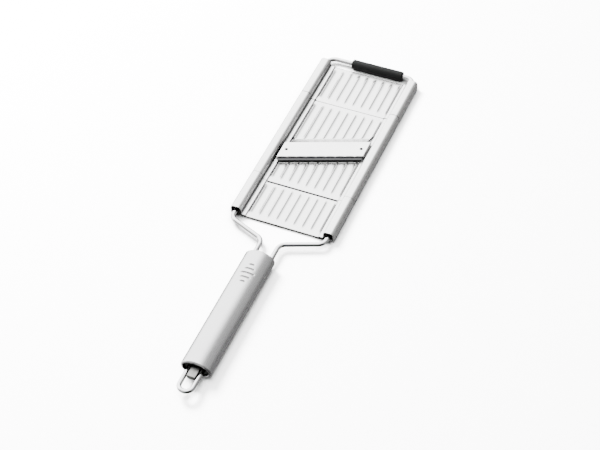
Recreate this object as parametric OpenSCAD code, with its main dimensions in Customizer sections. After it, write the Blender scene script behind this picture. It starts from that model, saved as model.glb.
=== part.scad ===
// Hand slicer: a bent wire frame with three sheet steel plates on it, the middle
// one a lift-out insert with a slanted blade, and an oval tube handle.
// X runs across the plates, Y along the slicer towards the far end, Z up.
// Inside the modules Y is counted from the lower ends of the side rails, and Z
// from the plane of the wire. place() then stands the slicer on its handle.

/* [Wire frame] */
// Diameter of the frame wire
wire_d = 4; // [3.6:0.1:4.4]
// Distance between the centre lines of the two long wires
gauge = 86; // [82:1:92]
// Distance from the top plate's end to the crossbar's centre line
crossbar_gap = 7; // [6.8:0.2:12]
// Bend radius of the far corners, at the wire's centre
corner_r = 9; // [7:0.5:9]
// Where the long wires would meet the shoulders, below the rails
shoulder_y = 9; // [8:0.5:12]
// Where the shoulders would meet the tails, below the rails
neck_y = 23; // [20:0.5:26]
// Bend radius of the shoulders, at the wire's centre
shoulder_r = 8; // [6:0.5:9]
// Distance between the centre lines of the two tails
tail_gauge = 16; // [15.6:0.1:16.2]
// Length of each tail inside the handle
tail_l = 34; // [28:1:44]

/* [Sheet plates] */
// Thickness of the sheet
sheet_t = 0.8; // [0.7:0.05:0.9]
// Width of a side rail
rail_w = 9.8; // [9.6:0.1:10.6]
// Bend radius between a rail and its flange
rail_bend = 1.2; // [0.8:0.1:1.6]
// Height of the flanges, from the wire's plane
flange_z = -2.5; // [-2.7:0.05:-2.3]
// Depth of the panels below the flanges
panel_drop = 0.9; // [0.6:0.1:1]
// Half width of a panel, inside its step
panel_half = 33.6; // [33.4:0.1:34]
// Width of the sloped step beside a panel
step_w = 0.8; // [0.5:0.1:1.2]
// Length of the bottom plate
bottom_l = 45.3; // [40:0.1:48]
// Width of the seam between the rails of the bottom plate and of the insert
seam_low = 0.3; // [0.2:0.1:0.8]
// Depth of the slot that this seam opens to between the panels
slot_l = 0.8; // [0.4:0.1:1.2]
// Length of the insert
insert_l = 109.6; // [107:0.1:112]
// Width of the seam between the insert and the top plate
seam_high = 0.4; // [0.3:0.1:0.8]
// Length of the top plate
top_l = 48.2; // [44:0.1:49]

/* [Ribs] */
// Distance from rib to rib
rib_pitch = 8; // [7.6:0.1:8]
// Number of ribs on each side of the middle one
rib_pairs = 4; // [2:1:4]
// Height of a rib above its panel
rib_h = 0.7; // [0.4:0.05:0.9]
// Radius of a rib's round back
rib_r = 1.45; // [1.3:0.05:1.6]
// Distance from a rib's end to the end of its plate
rib_margin = 4; // [3:0.5:6]

/* [Blade] */
// Slant of the blade across the slicer, in degrees
blade_slant = 21.4; // [18:0.2:23]
// Where the holder's front edge crosses the middle line
blade_y = 84.8; // [82:0.2:88]
// Height of the holder's top face, from the wire's plane
holder_z = 2.5; // [2.2:0.1:3]
// Width of the holder, square to its front edge
holder_w = 17.4; // [16:0.1:19]
// Thickness of the holder
holder_t = 1; // [0.8:0.1:1.2]
// Half length of the holder, across the slicer
holder_half = 36; // [35.6:0.1:36.4]
// Thickness of the blade
blade_t = 0.8; // [0.6:0.1:1]
// How far the cutting edge reaches before the holder
blade_reach = 1.5; // [1:0.1:2]
// Height of the cutting edge above the panel
slice_t = 2.4; // [1.6:0.1:2.8]
// Diameter of the blade's rivets
rivet_d = 1.8; // [1.6:0.1:2.2]
// Distance of a rivet from the end of the holder, across the slicer
rivet_in = 5.1; // [4:0.1:7]
// Width of the lip that leads down to the gap, square to the gap
lip_w = 3.4; // [2.6:0.1:4]
// Fall of the lip
lip_fall = 1.2; // [0.8:0.1:1.5]
// Level distance from the cutting edge back to the lip's end
gap_run = 0.3; // [0.2:0.1:1]
// Level length of the ramp behind the holder
ramp_w = 10; // [8:0.5:12]

/* [Sleeve] */
// Outer diameter of the rubber sleeve on the crossbar
sleeve_d = 8.6; // [8.2:0.1:9]
// Length of the rubber sleeve
sleeve_l = 49.5; // [40:0.5:56]
// How far the sleeve sits off the middle line
sleeve_x = 6; // [-8:0.5:8]

/* [Spacers] */
// Length of a spacer between the wire and a rail
spacer_l = 7; // [5:0.5:9]

/* [Handle] */
// Width of the oval handle
handle_w = 26.8; // [25:0.2:29]
// Height of the oval handle
handle_h = 18.4; // [17:0.2:21]
// Height of the handle's middle above the wire's plane
handle_lift = 2.2; // [1:0.1:2.6]
// Wall of the handle tube
handle_t = 1; // [0.8:0.1:1.4]
// Distance of the handle's front end from the rails
handle_front = 44; // [40:0.5:48]
// Length of the handle
handle_l = 127.3; // [118:0.1:140]
// Length of the rounded edge at the handle's front
nose_l = 1.4; // [1:0.1:3]
// How far the handle's front wall is turned in round the mouth
mouth_in = 1.7; // [1.5:0.1:2]
// Distance from the handle's front to the first thumb groove
groove_start = 16.6; // [14:0.2:26]
// Distance from groove to groove
groove_pitch = 4.8; // [4:0.1:6]
// Depth of a thumb groove
groove_depth = 0.4; // [0.2:0.05:0.5]
// Length of the longest thumb groove
groove_l = 13; // [10:0.2:15]
// Depth of the recess at the handle's rear
recess = 2; // [1.5:0.5:4]
// Length of the end cap
cap_l = 16; // [14:0.5:20]

/* [Hanging loop] */
// Diameter of the loop's wire
loop_d = 3.8; // [3.4:0.1:4]
// Outside width of the loop
loop_w = 15.5; // [14.5:0.1:16]
// Reach of the loop behind the handle
loop_reach = 24.2; // [21:0.1:28]
// Depth of the loop's ends in the end cap
loop_grip = 12; // [8:0.5:13]
// Width of the tongue between the loop's legs
tongue_w = 7.4; // [6:0.1:7.4]
// Thickness of the tongue
tongue_t = 4; // [3:0.5:5]
// Reach of the tongue behind the end cap
tongue_reach = 10.5; // [7:0.5:12]

/* [Fits] */
// Clearance between parts that stay together
fit = 0.05; // [0.03:0.01:0.08]
// Clearance between the insert and what it sits on
lift_fit = 0.2; // [0.15:0.05:0.3]

/* [Hidden] */
$fn = 64;
eps = 0.01;
big = 400;

// Wire
wire_r = wire_d / 2;
half_gauge = gauge / 2;
half_tail = tail_gauge / 2;
shoulder_run = half_gauge - half_tail;
shoulder_fall = neck_y - shoulder_y;
shoulder_angle = atan(shoulder_fall / shoulder_run);
bend_turn = 90 - shoulder_angle;
bend_reach = shoulder_r * tan(bend_turn / 2);
bend_steps = 8;
wire_sides = 24;

// Sheet levels and plate ends
rail_r = rail_w / 2;
panel_z = flange_z - panel_drop;
flange_in = panel_half + step_w;
flange_out = half_gauge - rail_r - rail_bend;
insert_y = bottom_l + seam_low;
top_y = insert_y + insert_l + seam_high;
rails_end = top_y + top_l;
crossbar_y = rails_end + crossbar_gap;
lip_bend = 0.3;
arch_r = rail_r - sheet_t;
spacer_r = arch_r - lift_fit;
spacer_low = flange_z - 0.2;
rail_lip_z = spacer_low - fit;

// Blade
cos_b = cos(blade_slant);
edge_z = panel_z + slice_t;
holder_low = holder_z - holder_t;
blade_len = 2 * holder_half / cos_b + holder_w;
lip_end = -blade_reach + gap_run;
lip_start = lip_end - lip_w;
ramp_start = holder_w + ramp_w;
rivet_x = holder_half - rivet_in;

// Slot at the low seam and corner reliefs at the high one, where the steps end
slot_half = panel_half - 0.5;
relief_in = panel_half - 0.6;
relief_out = flange_in + 0.9;
relief_depth = 0.7;

// Window in the insert's panel, and how the lip and the ramp root in the sheet
window_half = flange_in + 0.1;
lip_half = panel_half - 0.3;
root_l = 0.3;
root_in = 0.06;

// Ramp behind the holder: half width, land under the holder and the slits' reach
ramp_half = 31.4;
ramp_land = 2;
slit_in = ramp_half + 0.1;
slit_l = 3.5;

// Notches in the lip: width at the gap, and reach of the tip past the bend
notch_w = 1.4;
notch_tip = 0.6;

// Blade section: start of the front flank, top of the bevel and the blade's rear
flat_v = 4.5;
bevel_v = 0.6;
bevel_z = edge_z + 1.3;
blade_back = holder_w - ramp_land - 0.5;
flank_back = flat_v - 0.3;

// Holder's legs, behind its front edge
leg_front = 1.5;

// Rivets: thickness of the set head below, depth of the dimple above
rivet_head_t = 0.6;
rivet_dimple = 0.4;

// Spacers, two in each section of a rail
spacer_in = 2;
spacer_places = [
    spacer_in, bottom_l - spacer_in - spacer_l,
    insert_y + spacer_in, insert_y + insert_l - spacer_in - spacer_l,
    top_y + spacer_in, rails_end - spacer_in - spacer_l - fit
];

// Handle
handle_top = handle_lift + handle_h / 2;
top_r = 0.87 * handle_w * handle_w / handle_h / 2;
side_r = (handle_h * top_r - (handle_w * handle_w + handle_h * handle_h) / 4)
    / (2 * top_r - handle_w);
side_x = handle_w / 2 - side_r;
handle_rear = handle_front + handle_l;
tail_end = handle_front + tail_l;
loop_r = (loop_w - loop_d) / 2;
loop_y = handle_rear + loop_reach;
loop_centre = loop_y - loop_d / 2 - loop_r;
cap_face = handle_rear - recess;
rim_r = 1.5;
rim_l = recess - 0.3;
rim_in = 2;
plug_t = 4;
block_y = handle_front + plug_t + fit;
block_l = 26;
groove_short = 5.4;
tongue_grip = 6;

// The whole slicer
sleeve_r = sleeve_d / 2;
y_max = crossbar_y + sleeve_r;
y_mid = (y_max - loop_y) / 2;

// Moves a piece from the rails' own place to the slicer's: it rests on the
// handle, and its outline is centred on the origin.
module place() {
    translate([0, -y_mid, handle_h / 2 - handle_lift]) children();
}

// Extrudes a cross-section of X and Z from y0 to y1.
module along_y(y0, y1) {
    translate([0, y1, 0]) rotate([90, 0, 0]) linear_extrude(y1 - y0) children();
}

// Extrudes a cross-section, taken square to the blade, along the blade, and cuts
// it off parallel to the rails. The section's X is counted back from the
// holder's front edge.
module along_blade(half) {
    intersection() {
        translate([0, blade_y, 0])
            rotate([0, 0, blade_slant])
                translate([-blade_len / 2, 0, 0])
                    rotate([90, 0, 90]) linear_extrude(blade_len) children();
        translate([-half, -big / 2, -big / 2]) cube([2 * half, big, big]);
    }
}

// A bar of round wire from point a to point b in the wire's plane.
module bar(a, b, r) {
    d = b - a;
    translate([a[0], a[1], 0])
        rotate([0, 0, atan2(d[1], d[0])]) rotate([0, 90, 0]) cylinder(h = norm(d), r = r);
}

// A bend of round wire about a centre, from one angle through a turn.
module bend(centre, radius, start, turn, r) {
    translate([centre[0], centre[1], 0])
        rotate([0, 0, start]) rotate_extrude(angle = turn) translate([radius, 0]) circle(r = r);
}

// Stations along a bend, as [x, y, heading]. side is 1 for a bend to the right
// and -1 for one to the left.
function bend_stations(centre, radius, a0, a1, side) = [
    for (i = [0:bend_steps])
        let (a = a0 + (a1 - a0) * i / bend_steps)
            [centre[0] - side * radius * sin(a), centre[1] + side * radius * cos(a), a]
];

// The wire's centre line from the middle of the crossbar to the end of a tail.
half_path = concat(
    bend_stations([half_gauge - corner_r, crossbar_y - corner_r], corner_r, 0, -90, 1),
    bend_stations([half_gauge - shoulder_r, bend_reach - shoulder_y], shoulder_r,
        -90, -90 - bend_turn, 1),
    bend_stations([half_tail + shoulder_r, -neck_y - bend_reach], shoulder_r,
        -90 - bend_turn, -90, -1),
    [[half_tail, -tail_end, -90]]
);
half_count = len(half_path);
wire_path = concat(
    [for (i = [half_count - 1:-1:0]) [-half_path[i][0], half_path[i][1], -half_path[i][2]]],
    half_path
);

// Sweeps a round section along stations in the wire's plane.
module swept_wire(path, r) {
    last = len(path) - 1;
    points = [
        for (p = path, k = [0:wire_sides - 1])
            let (f = 360 * k / wire_sides)
                [p[0] - r * cos(f) * sin(p[2]), p[1] + r * cos(f) * cos(p[2]), r * sin(f)]
    ];
    walls = [
        for (i = [0:last - 1], k = [0:wire_sides - 1])
            let (n = (k + 1) % wire_sides, a = i * wire_sides, b = a + wire_sides)
                [a + k, a + n, b + n, b + k]
    ];
    start = [for (k = [wire_sides - 1:-1:0]) k];
    end = [for (k = [0:wire_sides - 1]) last * wire_sides + k];
    polyhedron(points, concat([start], walls, [end]));
}

module wire_frame() {
    color("silver") place() swept_wire(wire_path, wire_r);
}

module rubber_sleeve() {
    color("dimgray") place()
        translate([sleeve_x - sleeve_l / 2, crossbar_y, 0]) rotate([0, 90, 0])
            difference() {
                cylinder(h = sleeve_l, r = sleeve_r);
                translate([0, 0, -1]) cylinder(h = sleeve_l + 2, r = wire_r + fit);
            }
}

// One side of a plate's cross-section: the step, the flange, the bend up to the
// rail and the arch over the wire. A closed rail also turns in under the wire.
module side_section(closed) {
    wall_low = closed ? rail_lip_z + lip_bend : flange_z - sheet_t;
    polygon([
        [panel_half, panel_z], [flange_in, flange_z],
        [flange_in, flange_z - sheet_t], [panel_half, panel_z - sheet_t]
    ]);
    translate([flange_in, flange_z - sheet_t]) square([flange_out - flange_in, sheet_t]);
    translate([flange_out, flange_z + rail_bend])
        difference() {
            circle(r = rail_bend + sheet_t);
            circle(r = rail_bend);
            translate([-big, -big / 2]) square([big, big]);
            translate([-big / 2, 0]) square([big, big]);
        }
    translate([half_gauge - rail_r, flange_z + rail_bend])
        square([sheet_t, -flange_z - rail_bend]);
    translate([half_gauge, 0])
        difference() {
            circle(r = rail_r);
            circle(r = arch_r);
            translate([-big / 2, -big]) square([big, big]);
        }
    translate([half_gauge + arch_r, wall_low]) square([sheet_t, -wall_low]);
    if (closed) {
        translate([half_gauge + arch_r - lip_bend, wall_low])
            difference() {
                circle(r = lip_bend + sheet_t);
                circle(r = lip_bend);
                translate([-big, -big / 2]) square([big, big]);
                translate([-big / 2, 0]) square([big, big]);
            }
        translate([half_gauge - wire_r, rail_lip_z - sheet_t])
            square([wire_r + arch_r - lip_bend, sheet_t]);
    }
}

// The whole cross-section of a plate.
module plate_section(closed) {
    translate([-panel_half, panel_z - sheet_t]) square([2 * panel_half, sheet_t]);
    side_section(closed);
    mirror([1, 0]) side_section(closed);
}

// A round bar with ball ends along Y, which forms one rib.
module rib_bar(x, y0, y1, r) {
    translate([x, y0, panel_z + rib_h - rib_r]) rotate([-90, 0, 0])
        rotate_extrude()
            intersection() {
                union() {
                    translate([0, r]) circle(r = r);
                    translate([0, y1 - y0 - r]) circle(r = r);
                    translate([0, r]) square([r, y1 - y0 - 2 * r]);
                }
                square([r, y1 - y0]);
            }
}

// A sheet with its ribs pressed up. low and high give each rib's ends by X.
module ribbed_sheet(closed, y0, y1, low, high) {
    ribs = [-rib_pairs:rib_pairs];
    inner = rib_r - sheet_t;
    difference() {
        union() {
            along_y(y0, y1) plate_section(closed);
            for (i = ribs) rib_bar(i * rib_pitch, low[i + rib_pairs], high[i + rib_pairs], rib_r);
        }
        translate([-panel_half, y0, panel_z - sheet_t - rib_r])
            cube([2 * panel_half, y1 - y0, rib_r]);
        for (i = ribs)
            rib_bar(i * rib_pitch, low[i + rib_pairs] + sheet_t, high[i + rib_pairs] - sheet_t, inner);
    }
}

rib_list = [for (i = [-rib_pairs:rib_pairs]) i * rib_pitch];

module bottom_plate() {
    color("gainsboro") place()
        difference() {
            ribbed_sheet(true, 0, bottom_l,
                [for (x = rib_list) rib_margin], [for (x = rib_list) bottom_l - rib_margin]);
            translate([-slot_half, bottom_l - slot_l, panel_z - 2]) cube([2 * slot_half, 2, 4]);
        }
}

module top_plate() {
    color("gainsboro") place()
        difference() {
            ribbed_sheet(true, top_y, rails_end,
                [for (x = rib_list) top_y + rib_margin],
                [for (x = rib_list) rails_end - rib_margin]);
            corner_reliefs(top_y - 1, top_y + relief_depth);
        }
}

// Cuts from y0 to y1 at the ends of the two steps.
module corner_reliefs(y0, y1) {
    for (side = [0, 1])
        mirror([side, 0, 0])
            translate([relief_in, y0, panel_z - 2]) cube([relief_out - relief_in, y1 - y0, 4]);
}

// Place along Y of a line that runs v behind the holder's front edge, at x.
function slant_y(v, x) = blade_y + v / cos_b + x * tan(blade_slant);

// Fills the level area between two slanted lines, from the front v0 to the back v1.
module slant_area(v0, v1, half, z0, z1) {
    translate([0, 0, z0]) linear_extrude(z1 - z0)
        polygon([
            [-half, slant_y(v0, -half)], [half, slant_y(v0, half)],
            [half, slant_y(v1, half)], [-half, slant_y(v1, -half)]
        ]);
}

// A slit beside the ramp, which lets it rise between the flanges.
module ramp_slit(side) {
    x_in = side * slit_in;
    x_out = side * panel_half;
    x_end = side * window_half;
    y_tip = slant_y(ramp_start, x_out) + slit_l;
    translate([0, 0, panel_z - 2]) linear_extrude(4)
        polygon([
            [x_in, slant_y(ramp_start - 1, x_in)], [x_in, slant_y(ramp_start, x_in)],
            [x_out, y_tip], [x_end, y_tip], [x_end, slant_y(ramp_start - 1, x_end)]
        ]);
}

// Notches in the lip, one at the end of each rib, square to the gap.
module lip_notches() {
    for (i = [-rib_pairs + 1:rib_pairs]) {
        x = i * rib_pitch;
        translate([x, slant_y(lip_start, x), panel_z - lip_fall - 2])
            rotate([0, 0, blade_slant])
                linear_extrude(lip_fall + 3)
                    polygon([
                        [0, -notch_tip], [-notch_w / 2, lip_w + 1], [notch_w / 2, lip_w + 1]
                    ]);
    }
}

module insert_plate() {
    z_low = panel_z - sheet_t;
    color("lightgray") place() {
        difference() {
            ribbed_sheet(false, insert_y, insert_y + insert_l,
                [for (x = rib_list) insert_y + rib_margin],
                [for (x = rib_list) insert_y + insert_l - rib_margin]);
            slant_area(lip_start, ramp_start, window_half, panel_z - 3, panel_z + 3);
            ramp_slit(1);
            ramp_slit(-1);
            lip_notches();
            corner_reliefs(insert_y + insert_l - relief_depth, insert_y + insert_l + 1);
        }
        difference() {
            along_blade(lip_half)
                polygon([
                    [lip_start - root_l, panel_z - root_in], [lip_start, panel_z - root_in],
                    [lip_end, panel_z - lip_fall], [lip_end, z_low - lip_fall],
                    [lip_start, z_low + root_in], [lip_start - root_l, z_low + root_in]
                ]);
            lip_notches();
        }
        along_blade(ramp_half)
            polygon([
                [ramp_start, panel_z - root_in], [ramp_start + root_l, panel_z - root_in],
                [ramp_start + root_l, z_low + root_in], [ramp_start, z_low + root_in],
                [holder_w, holder_low - sheet_t], [holder_w - ramp_land, holder_low - sheet_t],
                [holder_w - ramp_land, holder_low], [holder_w, holder_low]
            ]);
    }
}

// The flat holder, with a leg down to the flange at each end.
module blade_holder() {
    color("whitesmoke") place()
        difference() {
            union() {
                along_blade(holder_half)
                    union() {
                        translate([holder_t / 2, holder_low]) square([holder_w - holder_t / 2, holder_t]);
                        translate([holder_t / 2, holder_z - holder_t / 2]) circle(r = holder_t / 2);
                    }
                for (side = [-1, 1])
                    intersection() {
                        slant_area(leg_front, holder_w, holder_half, flange_z, holder_z);
                        translate([side * (holder_half - holder_t / 2) - holder_t / 2, 0, -big / 2])
                            cube([holder_t, big, big]);
                    }
            }
            rivet_holes();
        }
}

// Places the rivets over the middle of the holder's width.
module at_rivets() {
    for (side = [-1, 1])
        translate([side * rivet_x, slant_y(holder_w / 2, side * rivet_x), 0]) children();
}

module rivet_holes() {
    at_rivets() translate([0, 0, -5]) cylinder(h = 10, r = rivet_d / 2);
}

// The blade: flat under the holder, then down and forward to its ground edge.
module blade() {
    color("gainsboro") place()
        difference() {
            along_blade(holder_half - holder_t - fit)
                polygon([
                    [blade_back, holder_low], [flat_v, holder_low],
                    [bevel_v, bevel_z], [-blade_reach, edge_z],
                    [flank_back, holder_low - blade_t], [blade_back, holder_low - blade_t]
                ]);
            rivet_holes();
        }
}

module blade_rivets() {
    color("gray") place()
        at_rivets()
            difference() {
                union() {
                    translate([0, 0, holder_low - blade_t - rivet_head_t])
                        cylinder(h = holder_t + blade_t + rivet_head_t, r = rivet_d / 2);
                    translate([0, 0, holder_low - blade_t - rivet_head_t])
                        cylinder(h = rivet_head_t, r = rivet_d);
                }
                translate([0, 0, holder_z - rivet_dimple]) cylinder(h = 1, r = rivet_d / 3);
            }
}

// A block that centres the wire in its rail, round above and flat below.
module spacer(side, y) {
    color("dimgray") place()
        translate([side * half_gauge, 0, 0])
            along_y(y, y + spacer_l)
                difference() {
                    union() {
                        circle(r = spacer_r);
                        translate([-spacer_r, spacer_low]) square([2 * spacer_r, -spacer_low]);
                    }
                    translate([-spacer_r - 1, -spacer_r - 1])
                        square([2 * spacer_r + 2, spacer_low + spacer_r + 1]);
                    circle(r = wire_r + fit);
                }
}

// The handle's oval section, drawn in by inset all round: two wide arcs above
// and below that run into two narrow ones at the sides.
module oval(inset) {
    reach = side_x * (top_r - inset) / (top_r - side_r);
    intersection() {
        translate([0, top_r - handle_h / 2]) circle(r = top_r - inset);
        translate([0, handle_h / 2 - top_r]) circle(r = top_r - inset);
        square([2 * reach, handle_h], center = true);
    }
    for (side = [-1, 1])
        translate([side * side_x, 0]) circle(r = side_r - inset);
}

// A bar of the oval section along the handle, from one distance behind the
// rails to another.
module oval_bar(inset, front, rear) {
    translate([0, 0, handle_lift]) along_y(-rear, -front) oval(inset);
}

// The handle's outline, width across, with round corners at both ends.
module end_outline(width) {
    half = width / 2;
    side = concat(
        [for (a = [0:15:90])
            [half - nose_l * (1 - sin(a)), -handle_front - nose_l * (1 - cos(a))]],
        [for (a = [0:15:90])
            [half - rim_r * (1 - cos(a)), -handle_rear + rim_r * (1 - sin(a))]]
    );
    other = [for (i = [len(side) - 1:-1:0]) [-side[i][0], side[i][1]]];
    polygon(concat(side, other));
}

// The handle's outer form: the oval bar with its ends rounded in both views.
module handle_form() {
    intersection() {
        oval_bar(0, handle_front, handle_rear);
        translate([0, 0, -big / 2]) linear_extrude(big) end_outline(handle_w);
        translate([0, 0, handle_lift])
            rotate([0, 90, 0])
                translate([0, 0, -big / 2]) linear_extrude(big) end_outline(handle_h);
    }
}

// V-grooves across the handle's top, turned about the middle of its upper arc.
// The middle one is the longest.
module thumb_grooves() {
    half_l = groove_l / 2;
    middle = handle_front + groove_start + 2 * groove_pitch;
    reach = 2 * groove_pitch * groove_l / (groove_l - groove_short);
    intersection() {
        for (i = [-2:2])
            translate([0, -middle - i * groove_pitch, handle_top - top_r])
                rotate([90, 0, 0]) rotate_extrude() translate([top_r, 0])
                    rotate(45) square(groove_depth * sqrt(2), center = true);
        linear_extrude(handle_top + 2)
            polygon([
                [-half_l, -middle], [0, -middle - reach], [half_l, -middle], [0, -middle + reach]
            ]);
    }
}

// The shell: its front wall is turned in round the mouth, its rear rim is thick.
module handle_tube() {
    color("silver") place()
        difference() {
            handle_form();
            oval_bar(handle_t, handle_front + handle_t, handle_rear - rim_l);
            oval_bar(mouth_in, handle_front - 1, handle_front + handle_t + 1);
            oval_bar(rim_in, handle_rear - rim_l - 1, handle_rear + 1);
            thumb_grooves();
        }
}

// A plate that closes the handle's mouth round the two tails.
module front_plug() {
    color("silver") place()
        difference() {
            oval_bar(mouth_in + fit, handle_front, handle_front + plug_t);
            tail_bores();
        }
}

module tail_bores() {
    for (side = [-1, 1])
        translate([side * half_tail, 0, 0])
            rotate([90, 0, 0]) cylinder(h = tail_end + fit, r = wire_r + fit);
}

// The core that grips the tails inside the handle.
module tail_block() {
    color("dimgray") place()
        difference() {
            oval_bar(handle_t + fit, block_y, block_y + block_l);
            tail_bores();
        }
}

module end_cap() {
    color("darkgray") place()
        difference() {
            oval_bar(handle_t + fit, cap_face - cap_l, cap_face);
            translate([0, 0, handle_lift]) {
                loop_bores();
                translate([-tongue_w / 2 - fit, -cap_face - 1, -tongue_t / 2 - fit])
                    cube([tongue_w + 2 * fit, tongue_grip + 1 + fit, tongue_t + 2 * fit]);
            }
        }
}

module loop_bores() {
    for (side = [-1, 1])
        translate([side * loop_r, -cap_face + loop_grip + fit, 0])
            rotate([90, 0, 0]) cylinder(h = loop_grip + recess + 1, r = loop_d / 2 + fit);
}

module hanging_loop() {
    color("silver") place() translate([0, 0, handle_lift]) {
        for (side = [-1, 1])
            bar([side * loop_r, -cap_face + loop_grip], [side * loop_r, -loop_centre], loop_d / 2);
        bend([0, -loop_centre], loop_r, 180, 180, loop_d / 2);
    }
}

module loop_tongue() {
    color("darkgray") place()
        translate([-tongue_w / 2, -cap_face - tongue_reach, handle_lift - tongue_t / 2])
            cube([tongue_w, tongue_grip + tongue_reach, tongue_t]);
}

wire_frame();
rubber_sleeve();
bottom_plate();
top_plate();
insert_plate();
blade_holder();
blade();
blade_rivets();
spacer(-1, spacer_places[0]);  // left_spacer_1
spacer(-1, spacer_places[1]);  // left_spacer_2
spacer(-1, spacer_places[2]);  // left_spacer_3
spacer(-1, spacer_places[3]);  // left_spacer_4
spacer(-1, spacer_places[4]);  // left_spacer_5
spacer(-1, spacer_places[5]);  // left_spacer_6
spacer(1, spacer_places[0]);  // right_spacer_1
spacer(1, spacer_places[1]);  // right_spacer_2
spacer(1, spacer_places[2]);  // right_spacer_3
spacer(1, spacer_places[3]);  // right_spacer_4
spacer(1, spacer_places[4]);  // right_spacer_5
spacer(1, spacer_places[5]);  // right_spacer_6
handle_tube();
front_plug();
tail_block();
end_cap();
hanging_loop();
loop_tongue();
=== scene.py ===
"""Looks of the multi slicer: ribbed sheet plates on a bent wire frame, a lift-out
insert with a slanted blade, an oval tube handle and a rubber sleeve.

Sizes are in millimetres, in the rails' own place: X across the plates, Y from the
rails' lower ends towards the far crossbar, Z from the wire's plane. Datum turns
them into the frame's metres.
"""

import logging
import math
from dataclasses import dataclass, field
from enum import Enum
from typing import Callable, Optional, Sequence

import bmesh
import bpy
from mathutils import Matrix, Vector


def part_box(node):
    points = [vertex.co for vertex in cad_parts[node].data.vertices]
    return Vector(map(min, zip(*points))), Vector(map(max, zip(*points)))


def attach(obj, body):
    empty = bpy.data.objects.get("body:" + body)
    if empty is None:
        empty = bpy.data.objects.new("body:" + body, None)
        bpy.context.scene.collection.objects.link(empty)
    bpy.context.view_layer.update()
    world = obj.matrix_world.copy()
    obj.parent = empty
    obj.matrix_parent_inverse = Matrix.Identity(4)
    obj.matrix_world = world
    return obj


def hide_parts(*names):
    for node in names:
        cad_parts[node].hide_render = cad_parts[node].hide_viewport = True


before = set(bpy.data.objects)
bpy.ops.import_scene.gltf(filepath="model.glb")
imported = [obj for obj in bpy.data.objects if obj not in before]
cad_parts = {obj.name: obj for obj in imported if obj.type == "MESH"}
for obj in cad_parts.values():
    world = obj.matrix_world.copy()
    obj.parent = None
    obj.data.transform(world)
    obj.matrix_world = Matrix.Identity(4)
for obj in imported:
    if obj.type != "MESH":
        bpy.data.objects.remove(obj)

LOG = logging.getLogger("slicer")
MM = 0.001
Point2 = tuple[float, float]
Point3 = tuple[float, float, float]


class Body(Enum):
    """The two bodies of the frame."""

    FRAME = "frame"
    INSERT = "insert"


class RailEnd(Enum):
    """How a side rail's outer wall ends."""

    OPEN = "open"
    CLOSED = "closed"


# The frame's place


@dataclass(frozen=True)
class Datum:
    """Where the rails' own place lies in the frame, in metres."""

    rails_y: float
    wire_z: float

    @classmethod
    def from_frame(cls) -> "Datum":
        """Reads the place from the frame's nodes.

        Returns:
            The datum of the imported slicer.
        """
        plate_low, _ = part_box("bottom_plate")
        wire_low, wire_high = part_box("wire_frame")
        return cls(plate_low.y, (wire_low.z + wire_high.z) / 2)

    def at(self, x: float, y: float, z: float) -> Vector:
        """Turns a place in millimetres into the frame's metres.

        Args:
            x: Distance from the middle line.
            y: Distance from the rails' lower ends.
            z: Height above the wire's plane.

        Returns:
            The place in the frame.
        """
        return Vector((x * MM, y * MM + self.rails_y, z * MM + self.wire_z))


DATUM = Datum.from_frame()


# Shader building


def linear(hex_colour: str) -> tuple[float, float, float, float]:
    """Turns an sRGB hex colour into linear values.

    Args:
        hex_colour: Six hex digits, with or without a leading #.

    Returns:
        Linear red, green, blue and an alpha of one.
    """
    digits = hex_colour.lstrip("#")
    channels = [int(digits[i : i + 2], 16) / 255 for i in (0, 2, 4)]
    red, green, blue = (
        c / 12.92 if c <= 0.04045 else ((c + 0.055) / 1.055) ** 2.4 for c in channels
    )
    return (red, green, blue, 1.0)


def add_node(
    tree: bpy.types.NodeTree,
    kind: str,
    links: Optional[dict[str | int, bpy.types.NodeSocket]] = None,
    values: Optional[dict[str | int, object]] = None,
    **settings: object,
) -> bpy.types.Node:
    """Adds a node with its settings, fixed values and incoming links.

    Args:
        tree: The tree that gets the node.
        kind: The node's type name.
        links: Sockets to link from, by the name or number of the input.
        values: Fixed values, by the name or number of the input.
        **settings: Attributes of the node itself.

    Returns:
        The new node.
    """
    node = tree.nodes.new(kind)
    for name, value in settings.items():
        setattr(node, name, value)
    for key, value in (values or {}).items():
        node.inputs[key].default_value = value
    for key, socket in (links or {}).items():
        tree.links.new(socket, node.inputs[key])
    return node


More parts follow.
